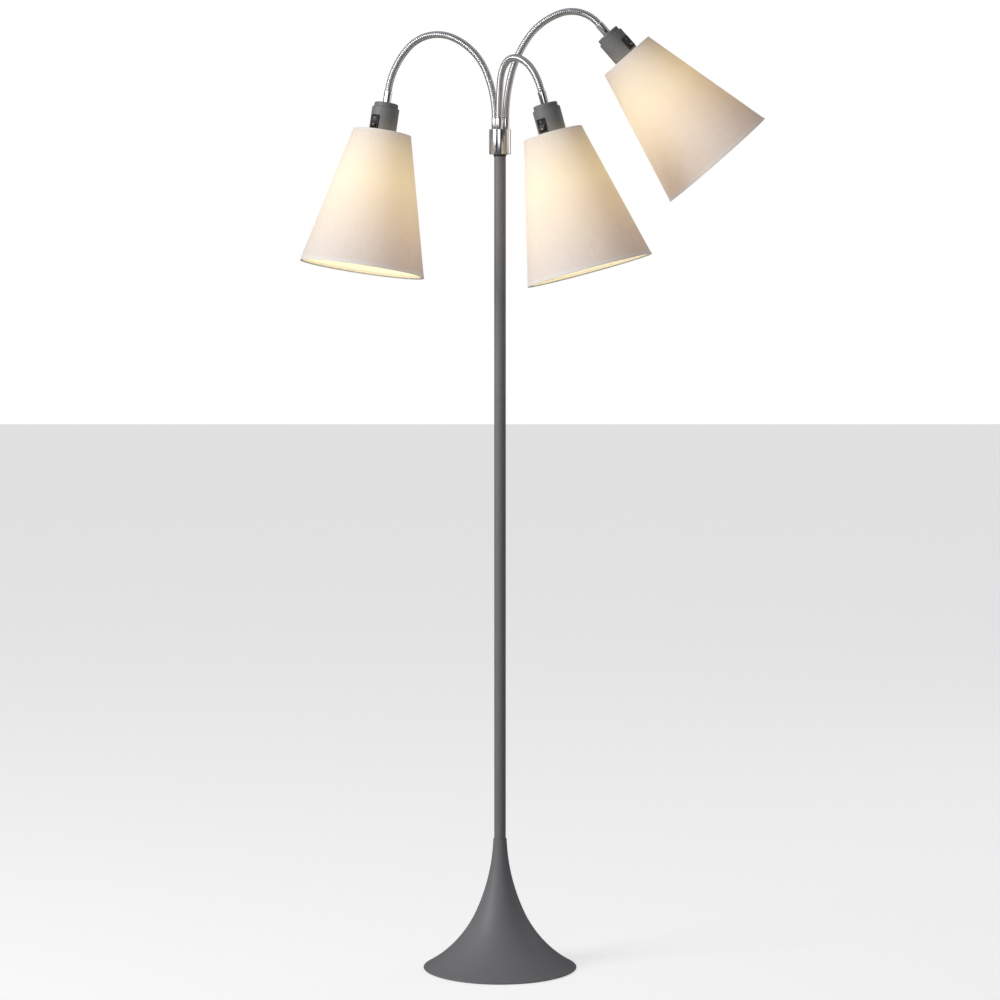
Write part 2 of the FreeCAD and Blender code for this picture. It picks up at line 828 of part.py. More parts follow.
def rocker_place():
    """The rocker's pivot in its head's frame, tipped to its rest side."""
    pivot = Vector(size("housing_radius + bezel_proud - rocker_pivot_depth"), 0, size("switch_centre"))
    return Placement(pivot, Rotation(Vector(0, 1, 0), size("rocker_rest_angle")))


SHADE_SLOPE = "((shade_bottom_radius - shade_top_radius) / shade_height)"
SHADE_END = "shade_start + shade_height"


def shade(arm, place):
    """The fabric cone, with a narrow rolled trim at the top and a wider one at the bottom."""
    piece = turned(
        f"{arm}_shade",
        [
            ("shade_top_radius - shade_wall", "shade_start"),
            ("shade_top_radius + trim_proud", "shade_start"),
            (f"shade_top_radius + trim_proud + {SHADE_SLOPE} * top_trim", "shade_start + top_trim"),
            (f"shade_top_radius + {SHADE_SLOPE} * top_trim", "shade_start + top_trim"),
            (f"shade_bottom_radius - {SHADE_SLOPE} * bottom_trim", f"{SHADE_END} - bottom_trim"),
            (f"shade_bottom_radius + trim_proud - {SHADE_SLOPE} * bottom_trim", f"{SHADE_END} - bottom_trim"),
            ("shade_bottom_radius + trim_proud", SHADE_END),
            ("shade_bottom_radius - shade_wall", SHADE_END),
        ],
    )
    keep(piece, f"{arm}_shade", place)


def shade_frame(arm, place):
    """The wire carrier: a fitter ring on the lampholder, three spokes, and a hoop at each rim."""
    off_fabric = "(shade_wall + (wire_radius + fabric_gap) * 1.04)"
    top_height = "shade_start + wire_inset + wire_radius"
    top_hoop_radius = f"shade_top_radius + {SHADE_SLOPE} * (wire_inset + wire_radius) - {off_fabric}"
    bottom_hoop_radius = f"shade_bottom_radius - {SHADE_SLOPE} * (wire_inset + wire_radius) - {off_fabric}"
    top_hoop = hoop(f"{arm}_top_hoop", top_hoop_radius, "wire_radius", top_height)
    bottom_hoop = hoop(
        f"{arm}_bottom_hoop", bottom_hoop_radius, "wire_radius", f"{SHADE_END} - wire_inset - wire_radius"
    )
    hole = "housing_radius - housing_wall - holder_fit + fitter_fit"
    fitter = turned(
        f"{arm}_fitter",
        [
            (hole, "housing_end + holder_fit"),
            ("fitter_radius", "housing_end + holder_fit"),
            ("fitter_radius", "housing_end + holder_fit + fitter_thickness"),
            (hole, "housing_end + holder_fit + fitter_thickness"),
        ],
    )
    inner_height = size("housing_end + holder_fit + fitter_thickness - spoke_radius * 1.1")
    inner = Vector(size("fitter_radius - spoke_radius"), 0, inner_height)
    outer = Vector(size(top_hoop_radius), 0, size(top_height))
    spokes = []
    for number in range(3):
        spoke = doc.addObject("Part::Cylinder", f"{arm}_spoke_{number + 1}")
        spoke.setExpression("Radius", bound("spoke_radius"))
        spoke.Height = (outer - inner).Length
        about = Rotation(Vector(0, 0, 1), 60 + 120 * number)
        spoke.Placement = Placement(
            about.multVec(inner), about * Rotation(Vector(0, 0, 1), outer - inner)
        )
        spokes.append(spoke)
    carrier = together(f"{arm}_carrier", top_hoop, fitter, *spokes)
    both = doc.addObject("Part::Compound", f"{arm}_shade_frame")
    both.Links = [carrier, bottom_hoop]
    keep(both, f"{arm}_shade_frame", place)


def clamp_ring(arm, place):
    """The ring that is screwed up the lampholder's skirt and holds the shade's fitter."""
    start = "housing_end + holder_fit + fitter_thickness"
    hole = "housing_radius - housing_wall - holder_fit + pole_fit"
    piece = turned(
        f"{arm}_shade_ring",
        [
            (hole, start),
            ("clamp_ring_radius", start),
            ("clamp_ring_radius", f"{start} + clamp_ring_height / 3"),
            ("clamp_ring_radius - 2", f"{start} + clamp_ring_height"),
            (hole, f"{start} + clamp_ring_height"),
        ],
    )
    keep(piece, f"{arm}_shade_ring", place)


def bulb(arm, place):
    """The screw base and the hollow glass of the lamp that the holder carries."""
    tip = "holder_start + holder_floor + bulb_gap"
    base_end = f"{tip} + bulb_base_length"
    base = turned(
        f"{arm}_bulb_base",
        [
            ("0", tip),
            ("bulb_contact_radius", tip),
            ("bulb_contact_radius", f"{tip} + 2"),
            ("bulb_base_radius", f"{tip} + 6"),
            ("bulb_base_radius", base_end),
            ("0", base_end),
        ],
    )
    keep(base, f"{arm}_bulb_base", place)
    centre = f"{tip} + bulb_length - bulb_radius"
    inner_radius = "(bulb_radius - bulb_glass)"
    shoulder = "holder_end + holder_fit"
    glass = turned(
        f"{arm}_bulb_glass",
        [
            ("bulb_neck_radius", base_end),
            ("bulb_neck_radius", shoulder),
            ("bulb_radius * sin(60)", f"{centre} - bulb_radius * cos(60)", "bulb_radius", 1),
            ("0", f"{tip} + bulb_length"),
            ("0", f"{tip} + bulb_length - bulb_glass", inner_radius, -1),
            (f"{inner_radius} * sin(60)", f"{centre} - {inner_radius} * cos(60)"),
            ("bulb_neck_radius - bulb_glass", shoulder),
            ("bulb_neck_radius - bulb_glass", base_end),
        ],
    )
    keep(glass, f"{arm}_bulb_glass", place)


# ---------------------------------------------------------------- the whole lamp


def build():
    foot_shell()
    foot_inside()
    cord_bushing()
    pole_and_cup()
    terminal_block()
    arm_leads()
    for arm in ARMS:
        frames = arm_frames(arm)
        neck_pieces(arm, frames)
        ferrules(arm, frames)
        place = head_place(arm, frames)
        for make in (housing, lampholder, switch, shade, shade_frame, clamp_ring, bulb):
            make(arm, place)
    doc.recompute()


def check():
    """Every object is up to date, and every piece has a sound shape."""
    for item in doc.Objects:
        if "Invalid" in item.State or "Error" in item.State:
            raise RuntimeError(f"{item.Label} did not build: {item.State}")
    for label, piece in parts.items():
        shape = piece.Shape
        if shape.isNull() or not shape.isValid() or not shape.Solids:
            raise RuntimeError(f"{label} has no sound shape")


def export():
    os.makedirs("parts", exist_ok=True)
    for label, piece in parts.items():
        piece.Shape.exportStep(f"parts/{label}.step")
    print(len(parts), "pieces written")


build()
check()
export()
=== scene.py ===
import json
import math

import bpy
from mathutils import Matrix, Vector


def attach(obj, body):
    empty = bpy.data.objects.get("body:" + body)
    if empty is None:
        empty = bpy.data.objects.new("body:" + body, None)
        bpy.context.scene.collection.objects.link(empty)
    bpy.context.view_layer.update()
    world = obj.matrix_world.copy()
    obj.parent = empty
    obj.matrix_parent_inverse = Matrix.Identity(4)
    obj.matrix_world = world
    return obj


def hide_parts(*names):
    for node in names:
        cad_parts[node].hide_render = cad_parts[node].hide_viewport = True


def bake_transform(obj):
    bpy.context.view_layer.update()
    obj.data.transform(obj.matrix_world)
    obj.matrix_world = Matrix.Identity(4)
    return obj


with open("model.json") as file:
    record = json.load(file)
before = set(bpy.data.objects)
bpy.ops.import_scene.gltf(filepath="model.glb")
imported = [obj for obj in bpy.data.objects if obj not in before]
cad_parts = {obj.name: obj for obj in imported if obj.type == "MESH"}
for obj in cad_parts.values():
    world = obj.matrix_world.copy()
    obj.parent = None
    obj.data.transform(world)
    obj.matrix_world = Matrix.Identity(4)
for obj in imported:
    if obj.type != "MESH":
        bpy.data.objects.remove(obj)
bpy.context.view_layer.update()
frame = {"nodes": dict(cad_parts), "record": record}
print("frame loaded")

mm = 0.001


# shader maths: one wire is one output socket, and sums of wires add their Math nodes
class Wire:
    def __init__(self, finish, socket):
        self.finish = finish
        self.socket = socket

    def sum(self, operation, first, second):
        return self.finish.node("Math", {"operation": operation}, {0: first, 1: second})

    def __add__(self, other):
        return self.sum("ADD", self, other)

    def __radd__(self, other):
        return self.sum("ADD", other, self)

    def __sub__(self, other):
        return self.sum("SUBTRACT", self, other)

    def __mul__(self, other):
        return self.sum("MULTIPLY", self, other)

    def __rmul__(self, other):
        return self.sum("MULTIPLY", other, self)

    def __truediv__(self, other):
        return self.sum("DIVIDE", self, other)


# a material, its nodes and its main shader
class Finish:
    def __init__(self, name, fixed, holder=None):
        self.holder = holder or bpy.data.materials.new(name)
        self.holder.use_nodes = True
        self.tree = self.holder.node_tree
        self.shader = self.tree.nodes.get("Principled BSDF")
        for socketName, value in fixed.items():
            self.shader.inputs[socketName].default_value = value

    def feed(self, target, value):
        if isinstance(value, Wire):
            self.tree.links.new(value.socket, target)
        else:
            target.default_value = value

    def node(self, kind, settings=None, sockets=None, output=0):
        made = self.tree.nodes.new("ShaderNode" + kind)
        for setting, value in (settings or {}).items():
            if setting == "stops":
                self.setStops(made.color_ramp, value)
            else:
                setattr(made, setting, value)
        for socket, value in (sockets or {}).items():
            self.feed(made.inputs[socket], value)
        return Wire(self, made.outputs[output])

    def setStops(self, ramp, stops):
        while len(ramp.elements) < len(stops):
            ramp.elements.new(0.5)
        for element, (place, colour) in zip(ramp.elements, stops):
            element.position = place
            element.color = (*colour, 1)

    def mixColour(self, mask, first, second, mode="MIX"):
        colours = [c if isinstance(c, Wire) else (*c, 1) for c in (first, second)]
        sockets = {0: mask, 6: colours[0], 7: colours[1]}
        return self.node("Mix", {"data_type": "RGBA", "blend_type": mode}, sockets, 2)

    def place(self):
        return self.node("TexCoord", output="Object")

    def cloth(self):
        return self.node("UVMap", {"uv_map": "cloth"})

    def stretched(self, vector, scale):
        return self.node("Mapping", {}, {"Vector": vector, "Scale": scale})

    def noise(self, vector, scale, detail=3, rough=0.5):
        sockets = {"Vector": vector, "Scale": scale, "Detail": detail, "Roughness": rough}
        return self.node("TexNoise", {}, sockets)

    def ramp(self, value, stops):
        return self.node("ValToRGB", {"stops": stops}, {0: value})

    def bump(self, height, distance, strength=1.0):
        return self.node("Bump", {}, {"Height": height, "Distance": distance, "Strength": strength})

    def feedShader(self, sockets):
        for socketName, value in sockets.items():
            self.feed(self.shader.inputs[socketName], value)


# finishes

paint = {"colour": (0.212, 0.215, 0.225), "deep": (0.192, 0.195, 0.205), "rough": 0.5, "grain": 1400}


def paintFinish():
    f = Finish("grey_paint", {"Specular IOR Level": 0.45})
    place = f.place()
    broad = f.noise(place, 9, 4)
    grain = f.noise(place, paint["grain"], 2)
    orangePeel = f.noise(place, 260, 2)
    f.feedShader({
        "Base Color": f.mixColour(broad, paint["deep"], paint["colour"]),
        "Roughness": paint["rough"] - 0.06 + broad * 0.1 + grain * 0.03,
        "Normal": f.bump(grain * 0.5 + orangePeel, 0.00006, 0.5),
    })
    return f


chrome = {"colour": (0.72, 0.73, 0.75), "dull": (0.58, 0.59, 0.61), "rough": 0.08}


def chromeFinish():
    f = Finish("bright_chrome", {"Metallic": 1.0})
    place = f.place()
    haze = f.noise(place, 60, 4)
    scratches = f.noise(f.stretched(place, (900, 900, 120)), 1, 2)
    f.feedShader({
        "Base Color": f.mixColour(haze, chrome["dull"], chrome["colour"]),
        "Roughness": chrome["rough"] + haze * 0.07 + scratches * 0.04,
        "Normal": f.bump(scratches, 0.00001, 0.3),
    })
    return f


def plasticFinish(name, colour, paler, rough, grain=900):
    f = Finish(name, {"Specular IOR Level": 0.5})
    place = f.place()
    moulded = f.noise(place, grain, 3)
    broad = f.noise(place, 30, 2)
    f.feedShader({
        "Base Color": f.mixColour(broad, colour, paler),
        "Roughness": rough + moulded * 0.1,
        "Normal": f.bump(moulded, 0.00004, 0.4),
    })
    return f


def metalFinish(name, colour, paler, rough, scale):
    f = Finish(name, {"Metallic": 1.0})
    place = f.place()
    rolled = f.noise(f.stretched(place, (scale, scale, scale / 12)), 1, 4)
    f.feedShader({
        "Base Color": f.mixColour(rolled, colour, paler),
        "Roughness": rough + rolled * 0.15,
        "Normal": f.bump(rolled, 0.00003, 0.4),
    })
    return f


def ironFinish():
    f = Finish("cast_iron", {"Metallic": 0.6})
    place = f.place()
    sand = f.noise(place, 420, 6, 0.7)
    f.feedShader({
        "Base Color": f.mixColour(sand, (0.07, 0.07, 0.075), (0.16, 0.15, 0.15)),
        "Roughness": 0.6 + sand * 0.25,
        "Normal": f.bump(sand, 0.0004, 0.6),
    })
    return f


def feltFinish():
    f = Finish("felt", {"Sheen Weight": 0.4})
    place = f.place()
    fibres = f.noise(place, 1600, 5, 0.7)
    clumps = f.noise(place, 120, 3)
    f.feedShader({
        "Base Color": f.mixColour(clumps, (0.018, 0.018, 0.02), (0.05, 0.05, 0.052)),
        "Roughness": 0.85 + fibres * 0.1,
        "Normal": f.bump(fibres, 0.0003, 0.8),
    })
    return f


weave = {
    "thread": 0.00062,  # m between threads
    "colour": (0.80, 0.795, 0.785),
    "slub": (0.715, 0.70, 0.68),
    # painted glow: emission colours on the outside of the shade cloth, standing in for the bulb's light shining
    # through it
    "glow": [  # from the top rim to the bottom rim
        (0.0, (0.27, 0.18, 0.09)),
        (0.16, (0.46, 0.315, 0.13)),
        (0.36, (0.56, 0.39, 0.155)),
        (0.6, (0.45, 0.29, 0.125)),
        (0.82, (0.31, 0.195, 0.1)),
        (1.0, (0.22, 0.135, 0.08)),
    ],
    # painted glow: emission colours on the inside of the cloth, standing in for the bulb's light falling on it
    "insideGlow": [
        (0.0, (0.62, 0.5, 0.26)),
        (0.4, (0.85, 0.74, 0.42)),
        (1.0, (0.72, 0.64, 0.36)),
    ],
}


def weaveFinish(name, glow, slant):
    f = Finish(name, {"Sheen Weight": 0.1, "Sheen Roughness": 0.5, "Emission Strength": 1.0})
    cloth = f.cloth()
    split = f.node("SeparateXYZ", {}, {0: cloth})
    along = Wire(f, split.socket.node.outputs[1])
    turns = 2 * math.pi / weave["thread"]
    warp = f.node("Math", {"operation": "SINE"}, {0: split * turns}) * 0.5 + 0.5
    weft = f.node("Math", {"operation": "SINE"}, {0: along * turns}) * 0.5 + 0.5
    warpSlubs = f.noise(f.stretched(cloth, (1150, 34, 1)), 1, 3, 0.6)
    weftSlubs = f.noise(f.stretched(cloth, (38, 1000, 1)), 1, 3, 0.6)
    cross = warp * weft
    slubs = warpSlubs * 0.62 + weftSlubs * 0.38
    thin = f.node("MapRange", {}, {0: slubs, 1: 0.38, 2: 0.64})
    colour = f.mixColour(thin, weave["slub"], weave["colour"])
    # painted glow: the emission is the bulb's light through the cloth, set by height down the shade and varied a
    # little with the weave
    fromTop = along / slant
    glowByHeight = f.ramp(fromTop, glow)
    light = 0.85 + thin * 0.19 + cross * 0.05
    threads = f.node("CombineXYZ", {}, {0: light, 1: light, 2: light})
    f.feedShader({
        "Base Color": colour,
        "Roughness": 0.78 + thin * 0.1,
        "Emission Color": f.mixColour(1.0, glowByHeight, threads, "MULTIPLY"),
        "Normal": f.bump(warp + weft + thin * 0.8, 0.00012, 0.5),
    })
    return f


def tapeFinish():
    # painted glow: a small even emission on the tape, standing in for the bulb's light through it
    glow = (0.2, 0.15, 0.115, 1)
    f = Finish("rim_tape", {"Sheen Weight": 0.1, "Emission Strength": 1.0, "Emission Color": glow})
    cloth = f.cloth()
    ribs = f.noise(f.stretched(cloth, (1500, 300, 1)), 1, 3, 0.6)
    f.feedShader({
        "Base Color": f.mixColour(ribs, (0.74, 0.73, 0.715), (0.82, 0.81, 0.795)),
        "Roughness": 0.75 + ribs * 0.15,
        "Normal": f.bump(ribs, 0.00015, 0.5),
    })
    return f


def bulbFinish():
    f = Finish("opal_glass", {"Coat Weight": 0.4, "Emission Strength": 1.0})
    frost = f.noise(f.place(), 90, 3)
    f.feedShader({
        "Base Color": f.mixColour(frost, (0.9, 0.88, 0.84), (0.93, 0.92, 0.9)),
        "Roughness": 0.3 + frost * 0.1,
        "Emission Color": f.mixColour(frost, (0.95, 0.82, 0.56), (1.0, 0.9, 0.68)),
    })
    return f


shadeSlant = math.hypot(0.2125, 0.0515)
finishes = {
    "grey_paint": paintFinish(),
    "chrome": chromeFinish(),
    "black_plastic": plasticFinish("black_plastic", (0.012, 0.012, 0.013), (0.02, 0.02, 0.021), 0.3),
    "holder_plastic": plasticFinish("holder_plastic", (0.035, 0.035, 0.038), (0.055, 0.055, 0.06), 0.5),
    "block_plastic": plasticFinish("block_plastic", (0.62, 0.62, 0.6), (0.72, 0.72, 0.7), 0.45),
    "lead_plastic": plasticFinish("lead_plastic", (0.5, 0.5, 0.48), (0.58, 0.58, 0.56), 0.5),
    "white_wire": plasticFinish("white_wire", (0.72, 0.71, 0.69), (0.8, 0.79, 0.77), 0.4, 500),
    "plain_steel": metalFinish("plain_steel", (0.38, 0.38, 0.4), (0.56, 0.56, 0.58), 0.3, 500),
    "brass": metalFinish("brass", (0.5, 0.4, 0.2), (0.72, 0.6, 0.34), 0.25, 500),
    "cast_iron": ironFinish(),
    "felt": feltFinish(),
    "opal_glass": bulbFinish(),
    "shade_fabric": weaveFinish("shade_weave", weave["glow"], shadeSlant),
    "lining": weaveFinish("shade_lining", weave["insideGlow"], shadeSlant),
    "tape": tapeFinish(),
    "mark": plasticFinish("switch_mark", (0.62, 0.62, 0.6), (0.72, 0.72, 0.7), 0.5),
}
print("finishes made")


# shapes

def meshPiece(name, points, faces, finish, place=Matrix(), uvs=None, sharp=35):
    mesh = bpy.data.meshes.new(name)
    mesh.from_pydata([tuple(p) for p in points], [], faces)
    if uvs is not None:
        layer = mesh.uv_layers.new(name="cloth")
        flat = [c for face in uvs for uv in face for c in uv]
        layer.data.foreach_set("uv", flat)
    mesh.transform(place)
    mesh.validate()
    mesh.polygons.foreach_set("use_smooth", [True] * len(mesh.polygons))
    mesh.set_sharp_from_angle(angle=math.radians(sharp))
    mesh.materials.append(finishes[finish].holder)
    piece = bpy.data.objects.new(name, mesh)
    bpy.context.scene.collection.objects.link(piece)
    return piece


def addPiece(piece, body, replaces=()):
    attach(piece, body)
    if replaces:
        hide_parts(*replaces)


# corners (r, z) or (r, z, fillet); a fillet is cut to half of the shorter edge beside it
def filleted(outline, closed=True, steps=5):
    corners = [Vector((c[0], c[1])) for c in outline]
    made = []
    for i, corner in enumerate(outline):
        here = corners[i]
        radius = corner[2] if len(corner) > 2 else 0
        atEnd = not closed and i in (0, len(outline) - 1)
        if not radius or atEnd:
            made.append(here)
            continue
        before = corners[i - 1] - here
        after = corners[(i + 1) % len(corners)] - here
        reach = min(radius, before.length * 0.49, after.length * 0.49)
        first = here + before.normalized() * reach
        last = here + after.normalized() * reach
        for k in range(steps + 1):
            t = k / steps
            made.append(first * (1 - t) ** 2 + here * 2 * t * (1 - t) + last * t**2)
    return made


def arcPoints(start, end, radius, side, steps):
    # the short arc in (r, z), without its last point
    a, b = Vector(start), Vector(end)
    chord = b - a
    off = Vector((-chord.y, chord.x)).normalized() * side
    centre = (a + b) / 2 + off * math.sqrt(max(radius**2 - (chord.length / 2) ** 2, 0))
    first, last = (math.atan2(p.y - centre.y, p.x - centre.x) for p in (a, b))
    turn = (last - first + math.pi) % (2 * math.pi) - math.pi
    angles = [first + turn * k / steps for k in range(steps)]
    return [(centre.x + radius * math.cos(w), centre.y + radius * math.sin(w)) for w in angles]


# an outline of (r, z) turned about Z
def turned(name, outline, finish, place=Matrix(), around=96, closed=True, sharp=35):
    rows, points = [], []
    for corner in outline:
        r, z = corner[0], corner[1]
        if r < 1e-7:
            rows.append([len(points)] * around)
            points.append((0, 0, z))
            continue
        rows.append(list(range(len(points), len(points) + around)))
        for k in range(around):
            w = 2 * math.pi * k / around
            points.append((r * math.cos(w), r * math.sin(w), z))
    travel = [0.0]
    for a, b in zip(outline, [*outline[1:], outline[0]]):
        travel.append(travel[-1] + math.hypot(b[0] - a[0], b[1] - a[1]))
    mean = sum(c[0] for c in outline) / len(outline)
    faces, uvs = [], []
    count = len(outline) if closed else len(outline) - 1
    for i in range(count):
        low, high = rows[i], rows[(i + 1) % len(rows)]
        for k in range(around):
            n = (k + 1) % around
            ring = [low[k], low[n], high[n], high[k]]
            left, right = (2 * math.pi * mean * w / around for w in (k, k + 1))
            flat = [(left, travel[i]), (right, travel[i]), (right, travel[i + 1]), (left, travel[i + 1])]
            keep = [j for j in range(4) if ring[j] not in ring[:j]]
            if len(keep) > 2:
                faces.append([ring[j] for j in keep])
                uvs.append([flat[j] for j in keep])
    return meshPiece(name, points, faces, finish, place, uvs, sharp)


# a rounded bar between two corners, for small plates and blocks
def roundedBlock(name, low, high, finish, place=Matrix(), bevel=0.0006):
    points = [(x, y, z) for z in (low[2], high[2]) for y in (low[1], high[1]) for x in (low[0], high[0])]
    faces = [(0, 2, 3, 1), (4, 5, 7, 6), (0, 1, 5, 4), (2, 6, 7, 3), (0, 4, 6, 2), (1, 3, 7, 5)]
    piece = meshPiece(name, points, faces, finish, place, sharp=60)
    soften(piece, bevel)
    return piece


def soften(piece, width, segments=3, angle=40):
    edge = piece.modifiers.new("softEdge", "BEVEL")
    edge.width = width
    edge.segments = segments
    edge.limit_method = "ANGLE"
    edge.angle_limit = math.radians(angle)


def hollowed(piece, *tools):
    for tool in tools:
        cut = piece.modifiers.new("cut", "BOOLEAN")
        cut.object = tool
        cut.operation = "DIFFERENCE"
        cut.solver = "EXACT"
    settle(piece)
    for tool in tools:
        bpy.data.objects.remove(tool)


# the piece's modifiers applied to its mesh
def settle(piece):
    bpy.context.view_layer.update()
    ready = piece.evaluated_get(bpy.context.evaluated_depsgraph_get())
    mesh = bpy.data.meshes.new_from_object(ready)
    piece.modifiers.clear()
    piece.data = mesh


# where things are (metres), as the part's own sizes give them

heights = {
    "rim": 1.4 * mm,
    "rimLip": 2.5 * mm,
    "footTop": 205 * mm,
    "poleBottom": 28.7 * mm,
    "cupBottom": 1265.7 * mm,
    "cupTop": 1303.7 * mm,
    "ferruleTop": 1321.1 * mm,
}
arms = {
    "left": {"stand": 140, "length": 0.295, "bends": (23, 44, 71, 34), "heading": 173, "drift": 3, "switch": -40},
    "middle": {"stand": -100, "length": 0.218, "bends": (13, 71, 34, 52.5), "heading": -70, "drift": 6, "switch": -38},
    "right": {"stand": 20, "length": 0.257, "bends": (14, 21, 36, 68), "heading": 11, "drift": -2.7, "switch": 45},
}


def quarterPlace(arm, quarter, distance):
    bend = math.radians(arms[arm]["bends"][quarter])
    radius = arms[arm]["length"] / 4 / bend
    turn = distance / radius
    spot = Vector((radius * (1 - math.cos(turn)), 0, radius * math.sin(turn)))
    return Matrix.Translation(spot) @ Matrix.Rotation(turn, 4, "Y")


def armPlaces(arm):
    facts = arms[arm]
    stand = math.radians(facts["stand"])
    foot = Vector((9.5 * mm * math.cos(stand), 9.5 * mm * math.sin(stand), heights["ferruleTop"]))
    carried = Matrix.Identity(3)
    places = []
    for quarter in range(4):
        heading = math.radians(facts["heading"] + facts["drift"] * quarter)
        turned3 = carried @ Matrix.Rotation(heading, 3, "Z")
        start = Matrix.Translation(foot) @ turned3.to_4x4()
        places.append(start)
        end = start @ quarterPlace(arm, quarter, facts["length"] / 4)
        foot = end.to_translation()
        axis = turned3 @ Vector((0, 1, 0))
        carried = Matrix.Rotation(math.radians(facts["bends"][quarter]), 3, axis) @ carried
    places.append(end)
    return places


def alongArm(arm, places, distance):
    span = arms[arm]["length"] / 4
    if distance <= 0:
        return places[0] @ Matrix.Translation((0, 0, distance))
    if distance >= 4 * span:
        return places[4] @ Matrix.Translation((0, 0, distance - 4 * span))
    quarter = min(int(distance / span), 3)
    return places[quarter] @ quarterPlace(arm, quarter, distance - quarter * span)


def headPlace(arm, places):
    end = places[4] @ Matrix.Translation((0, 0, 0.020))
    axis = end.to_3x3() @ Vector((0, 0, 1))
    toViewer = Vector((0, -1, 0))
    front = (toViewer - axis * toViewer.dot(axis)).normalized()
    toRight = axis.cross(front)
    if toRight.x < 0:
        toRight.negate()
    turn = math.radians(arms[arm]["switch"])
    out = front * math.cos(turn) + toRight * math.sin(turn)
    across = axis.cross(out)
    turned3 = Matrix((out, across, axis)).transposed()
    return Matrix.Translation(end.to_translation()) @ turned3.to_4x4()


# foot, pole and cup

foot = {"radius": 119.5, "neck": 10.4, "middle": (40.2, 84), "upperArc": 305, "lowerArc": 190, "wall": 1.3}


def footShell():
    lip = (foot["radius"] * mm, heights["rimLip"])
    middle = tuple(v * mm for v in foot["middle"])
    neck = (foot["neck"] * mm, heights["footTop"])
    outer = arcPoints(neck, middle, foot["upperArc"] * mm, 1, 40)
    outer += arcPoints(middle, lip, foot["lowerArc"] * mm, 1, 60)
    wall = foot["wall"] * mm
    rim = [
        (lip[0] - 0.15 * mm, lip[1] - 0.1 * mm),
        (lip[0], lip[1] - 0.45 * mm),
        (lip[0] - 0.1 * mm, heights["rim"] + 0.2 * mm),
        (lip[0] - 0.35 * mm, heights["rim"]),
        (lip[0] - wall, heights["rim"]),
    ]
    innerLip = (lip[0] - wall, lip[1] - wall * 0.6)
    innerMiddle = (middle[0] - wall * 0.9, middle[1] - wall * 0.45)
    innerNeck = (neck[0] - wall, neck[1])
    inner = arcPoints(innerLip, innerMiddle, foot["lowerArc"] * mm + wall, -1, 40)
    inner += arcPoints(innerMiddle, innerNeck, foot["upperArc"] * mm + wall, -1, 30)
    top = [innerNeck, (neck[0] - 0.9 * mm, neck[1]), (neck[0] - 0.35 * mm, neck[1] - 0.02 * mm)]
    outline = outer + rim + inner + top
    shell = turned("foot_shell", outline, "grey_paint", around=160, sharp=50)
    addPiece(shell, "stand", ["base_shell"])


def poleTube():
    low, high = heights["poleBottom"], heights["cupBottom"]
    levels = [low + (high - low) * k / 40 for k in range(41)]
    outline = [(9 * mm, z) for z in levels] + [(8 * mm, z) for z in reversed(levels)]
    pole = turned("pole_tube", outline, "grey_paint", around=64)
    addPiece(pole, "stand", ["pole"])


def armCup():
    low, high = heights["cupBottom"], heights["cupTop"]
    wall, radius = 1.2 * mm, 16.5 * mm
    outline = filleted([
        (3.5 * mm, low),
        (radius, low, 0.8 * mm),
        (radius, high, 0.45 * mm),
        (radius - wall, high, 0.35 * mm),
        (radius - wall, high - 5.6 * mm),
        (radius - wall - 1 * mm, high - 5.6 * mm),
        (radius - wall - 1 * mm, low + wall),
        (3.5 * mm, low + wall),
    ])
    cup = turned("cup", outline, "chrome", around=96)
    addPiece(cup, "stand", ["arm_cup"])
    # painted shadow: a thin black ring round the pole just under the cup, where the cup's shadow falls on the pole
    shadowRing = turned("cup_shadow_ring", filleted([
        (9.02 * mm, low - 3.2 * mm, 0.3 * mm),
        (9.9 * mm, low - 3.2 * mm, 0.4 * mm),
        (9.9 * mm, low, 0),
        (9.02 * mm, low, 0),
    ]), "black_plastic", around=64)
    addPiece(shadowRing, "stand")


def inletLining():
    bushing = Matrix.Translation((0, 98 * mm, 12 * mm)) @ Matrix.Rotation(-math.pi / 2, 4, "X")
    outline = filleted([
        (3.6 * mm, 0),
        (5.6 * mm, 0, 0.3 * mm),
        (5.6 * mm, 19 * mm),
        (7 * mm, 19 * mm, 0.3 * mm),
        (7 * mm, 21 * mm, 0.8 * mm),
        (3.6 * mm, 21 * mm, 0.6 * mm),
    ])
    lining = turned("inlet_bushing", outline, "black_plastic", bushing, 48)
    addPiece(lining, "stand", ["cord_bushing"])


footShell()
poleTube()
armCup()
inletLining()
print("foot, pole and cup made")


# ribbed arms

neck = {
    "pitch": 3.1 * mm,
    "crest": 5.35 * mm,
    "groove": 4.88 * mm,
    "around": 32,
    "profile": [(0.0, 0.0), (0.1, 0.5), (0.22, 0.9), (0.44, 1.0), (0.66, 0.9), (0.78, 0.5), (0.88, 0.0)],
    "turnReach": 24 * mm,  # a reach to each side of a hinge; the ends it gives are worked out but not used
    "lead": 1.7 * mm,
}


def tubeAlong(name, arm, places, stations, finish, capped=True):
    # stations are (distance, radius)
    around = neck["around"]
    points, faces = [], []
    for distance, radius in stations:
        place = alongArm(arm, places, distance)
        for k in range(around):
            w = 2 * math.pi * k / around
            points.append(place @ Vector((radius * math.cos(w), radius * math.sin(w), 0)))
    for i in range(len(stations) - 1):
        for k in range(around):
            n = (k + 1) % around
            faces.append((i * around + k, i * around + n, (i + 1) * around + n, (i + 1) * around + k))
    if capped:
        faces.append(tuple(reversed(range(around))))
        faces.append(tuple(range((len(stations) - 1) * around, len(stations) * around)))
    return meshPiece(name, points, faces, finish, sharp=60)


def ribStations(first, last, pitch):
    height = neck["crest"] - neck["groove"]
    stations = []
    for rib in range(first, last):
        for share, rise in neck["profile"]:
            stations.append(((rib + share) * pitch, neck["groove"] + height * rise))
    stations.append((last * pitch, neck["groove"]))
    return stations


